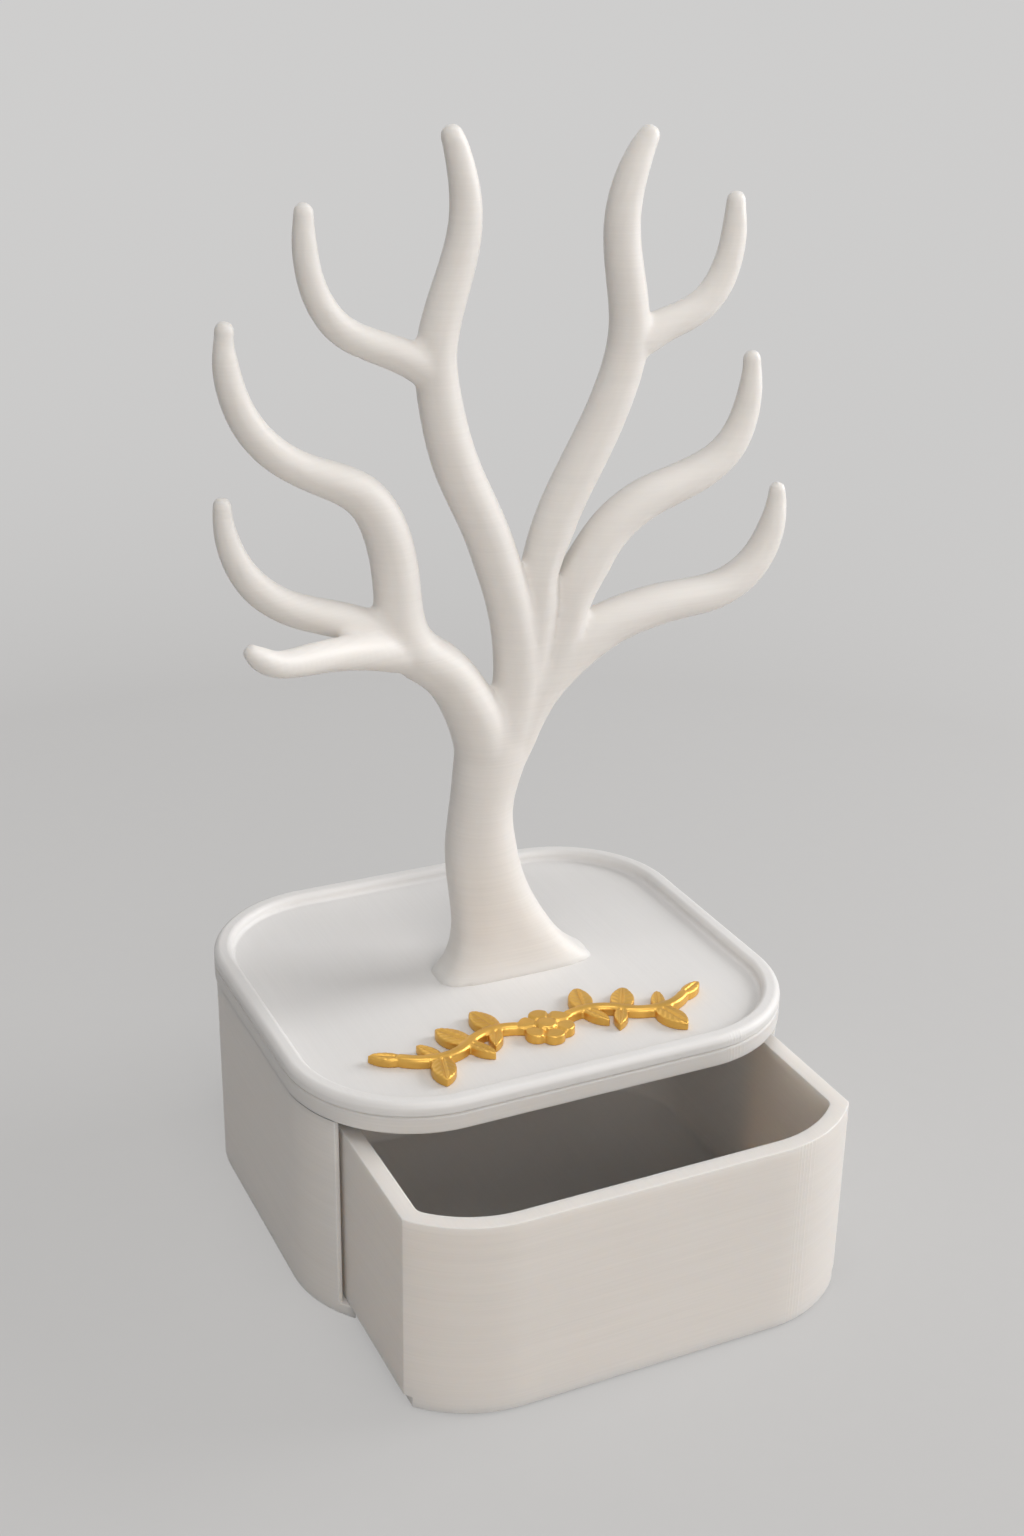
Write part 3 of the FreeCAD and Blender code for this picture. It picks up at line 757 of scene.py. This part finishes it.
class STAND_OT_spray(bpy.types.Operator):
    """Gilt leaf spray lying on the tray"""

    bl_idname = "stand.spray"
    bl_label = "Leaf spray"

    def execute(self, context):
        settings = settings_of(context)
        piece = copy_of("vine_ornament", "leaf_spray")
        mesh = fine_skin(piece, settings.spray_grain)
        low, high = (np.array(corner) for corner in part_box("vine_ornament"))
        middle = (low + high)[:2] / 2
        points = points_of(mesh)
        neighbours = neighbours_of(mesh)
        upper = np.clip((points[:, 2:] - low[2]) / MM - SPRAY_BASE, 0, 1)
        even_out(points, neighbours, (SPRAY_PULL,) * settings.spray_softness, upper)
        points[:, 2] += upper[:, 0] * spray_relief((points[:, :2] - middle) / MM) * MM
        even_out(points, neighbours, SPRAY_STEPS, upper)
        put_points(mesh, points)
        keep_inside(mesh, "vine_ornament")
        dress(piece, "vine_ornament", "stand",
              satin_gilt("gilt_print", settings.gilt_colour))
        return {"FINISHED"}


# ------------------------------------------------------------------ stage
# The backdrop's colour is what the camera and every gloss see in the world and the far floor.
# Within NEAR_FLOOR of the middle the floor shows NEAR_BACKDROP of it, and its own colour and the
# shadow for the rest.
BACKDROP = (0.62, 0.615, 0.61, 1.0)
WORLD_LIGHT = 0.27
WORLD_COLOUR = (1.0, 0.99, 0.98, 1.0)
FLOOR_DARK = (0.53, 0.52, 0.51)
FLOOR_LIGHT = (0.55, 0.54, 0.53)
FLOOR_RADIUS = 14.0
FLOOR_SIDES = 96
FLOOR_BELOW = 0.02 * MM
NEAR_FLOOR = 0.35
NEAR_BACKDROP = 0.60

# Lamps: name, place, side of the square, power against the setting, and colour.
LAMP_AIM = (0.0, -0.01, 0.09)
LAMPS = (
    ("key_lamp", (0.86, -0.16, 0.46), 0.50, 1.85, (0.99, 0.99, 1.0)),
    ("front_lamp", (-0.14, -1.00, 0.46), 0.60, 1.12, (1.0, 0.96, 0.92)),
    ("top_lamp", (-0.04, -0.20, 1.05), 0.50, 0.72, (1.0, 0.99, 0.98)),
    ("back_lamp", (-0.05, 0.95, 0.80), 0.60, 0.3, (1.0, 0.99, 0.98)))

# The camera's place and the point that it looks at, and its sensor and lens, in mm.
CAMERA_PLACE = (-170.50, -368.60, 278.43)
CAMERA_AIM = (12.35, 16.88, 97.68)
CAMERA_ROLL = math.radians(0.91)
SENSOR_HEIGHT = 36.0
LENS = 45.39
NEAREST_SEEN = 0.01  # metres


class STAND_OT_stage(bpy.types.Operator):
    """Pale floor, soft lamps and the camera"""

    bl_idname = "stand.stage"
    bl_label = "Stage"

    def execute(self, context):
        self.floor()
        self.lamps(settings_of(context).lamp_power)
        self.world(context.scene)
        self.camera(context.scene)
        context.scene.view_settings.view_transform = "Standard"
        return {"FINISHED"}

    def floor(self):
        """A wide round floor under the stand, which runs into the backdrop."""
        skin = bmesh.new()
        bmesh.ops.create_circle(skin, cap_ends=True, segments=FLOOR_SIDES, radius=FLOOR_RADIUS)
        mesh = bpy.data.meshes.new("floor")
        skin.to_mesh(mesh)
        skin.free()
        floor = new_object("floor", mesh)
        floor.location.z = -FLOOR_BELOW
        sheet = Sheet(bpy.data.materials.new("pale_floor"))
        grain = sheet.noise((160.0, 160.0, 160.0), detail=4.0)
        ground = sheet.node("ShaderNodeBsdfPrincipled", None, {
            "Base Color": sheet.blend(grain, FLOOR_DARK, FLOOR_LIGHT),
            "Roughness": 1.0, "Specular IOR Level": 0.0})
        glow = sheet.node("ShaderNodeEmission", None, {"Color": BACKDROP, "Strength": 1.0})
        far = sheet.node("ShaderNodeVectorMath", {"operation": "LENGTH"}, {0: sheet.here()}, "Value")
        near = NEAR_FLOOR / far
        backdrop = sheet.seen() * sheet.spread(near * near, 0.0, 1.0, 1.0, NEAR_BACKDROP)
        shader = sheet.node("ShaderNodeMixShader", None, {0: backdrop, 1: ground, 2: glow})
        sheet.node("ShaderNodeOutputMaterial", None, {"Surface": shader})
        mesh.materials.append(sheet.owner)

    def lamps(self, power):
        """Soft square lamps, all aimed at the stand."""
        for name, place, side, share, colour in LAMPS:
            light = bpy.data.lights.new(name, "AREA")
            light.shape = "SQUARE"
            light.size = side
            light.energy = power * share
            light.color = colour
            lamp = new_object(name, light)
            lamp.location = place
            ahead = Vector(LAMP_AIM) - Vector(place)
            lamp.rotation_euler = ahead.to_track_quat("-Z", "Y").to_euler()

    def world(self, scene):
        """Even light from all round, and the backdrop where it is seen."""
        sheet = Sheet(bpy.data.worlds.new("studio"))
        scene.world = sheet.owner
        light = sheet.node("ShaderNodeBackground", None,
                           {"Color": WORLD_COLOUR, "Strength": WORLD_LIGHT})
        shown = sheet.node("ShaderNodeBackground", None, {"Color": BACKDROP, "Strength": 1.0})
        mix = sheet.node("ShaderNodeMixShader", None, {0: sheet.seen(), 1: light, 2: shown})
        sheet.node("ShaderNodeOutputWorld", None, {"Surface": mix})

    def camera(self, scene):
        """The scene's camera, rolled a little about its line of sight."""
        place = Vector(CAMERA_PLACE) * MM
        ahead = (Vector(CAMERA_AIM) * MM - place).normalized()
        level_right = ahead.cross(Vector((0, 0, 1))).normalized()
        level_up = level_right.cross(ahead)
        right = math.cos(CAMERA_ROLL) * level_right + math.sin(CAMERA_ROLL) * level_up
        up = math.cos(CAMERA_ROLL) * level_up - math.sin(CAMERA_ROLL) * level_right
        view = bpy.data.cameras.new("camera")
        view.sensor_fit = "VERTICAL"
        view.sensor_height = SENSOR_HEIGHT
        view.lens = LENS
        view.clip_start = NEAREST_SEEN
        camera = new_object("camera", view)
        turn = Matrix((right, up, -ahead)).transposed().to_4x4()
        camera.matrix_world = Matrix.Translation(place) @ turn
        scene.camera = camera


# ------------------------------------------------------------------ add-on
class STAND_PT_panel(bpy.types.Panel):
    """Settings of the stand and the steps that dress it"""

    bl_idname = "STAND_PT_panel"
    bl_label = "Jewelry stand"
    bl_space_type = "VIEW_3D"
    bl_region_type = "UI"
    bl_category = "Stand"

    def draw(self, context):
        settings = settings_of(context)
        for name in StandSettings.__annotations__:
            self.layout.prop(settings, name)
        for step in STEPS:
            self.layout.operator(step.bl_idname)


STEPS = (STAND_OT_box, STAND_OT_tray, STAND_OT_drawer, STAND_OT_tree, STAND_OT_screws,
         STAND_OT_spray, STAND_OT_stage)
CLASSES = (StandSettings, *STEPS, STAND_PT_panel)


def register():
    for kind in CLASSES:
        bpy.utils.register_class(kind)
    bpy.types.Scene.stand_settings = PointerProperty(type=StandSettings)


def unregister():
    del bpy.types.Scene.stand_settings
    for kind in reversed(CLASSES):
        bpy.utils.unregister_class(kind)


def main():
    """Dresses the stand."""
    register()
    for step in STEPS:
        getattr(bpy.ops.stand, step.bl_idname.removeprefix("stand."))()


if __name__ == "__main__":
    main()
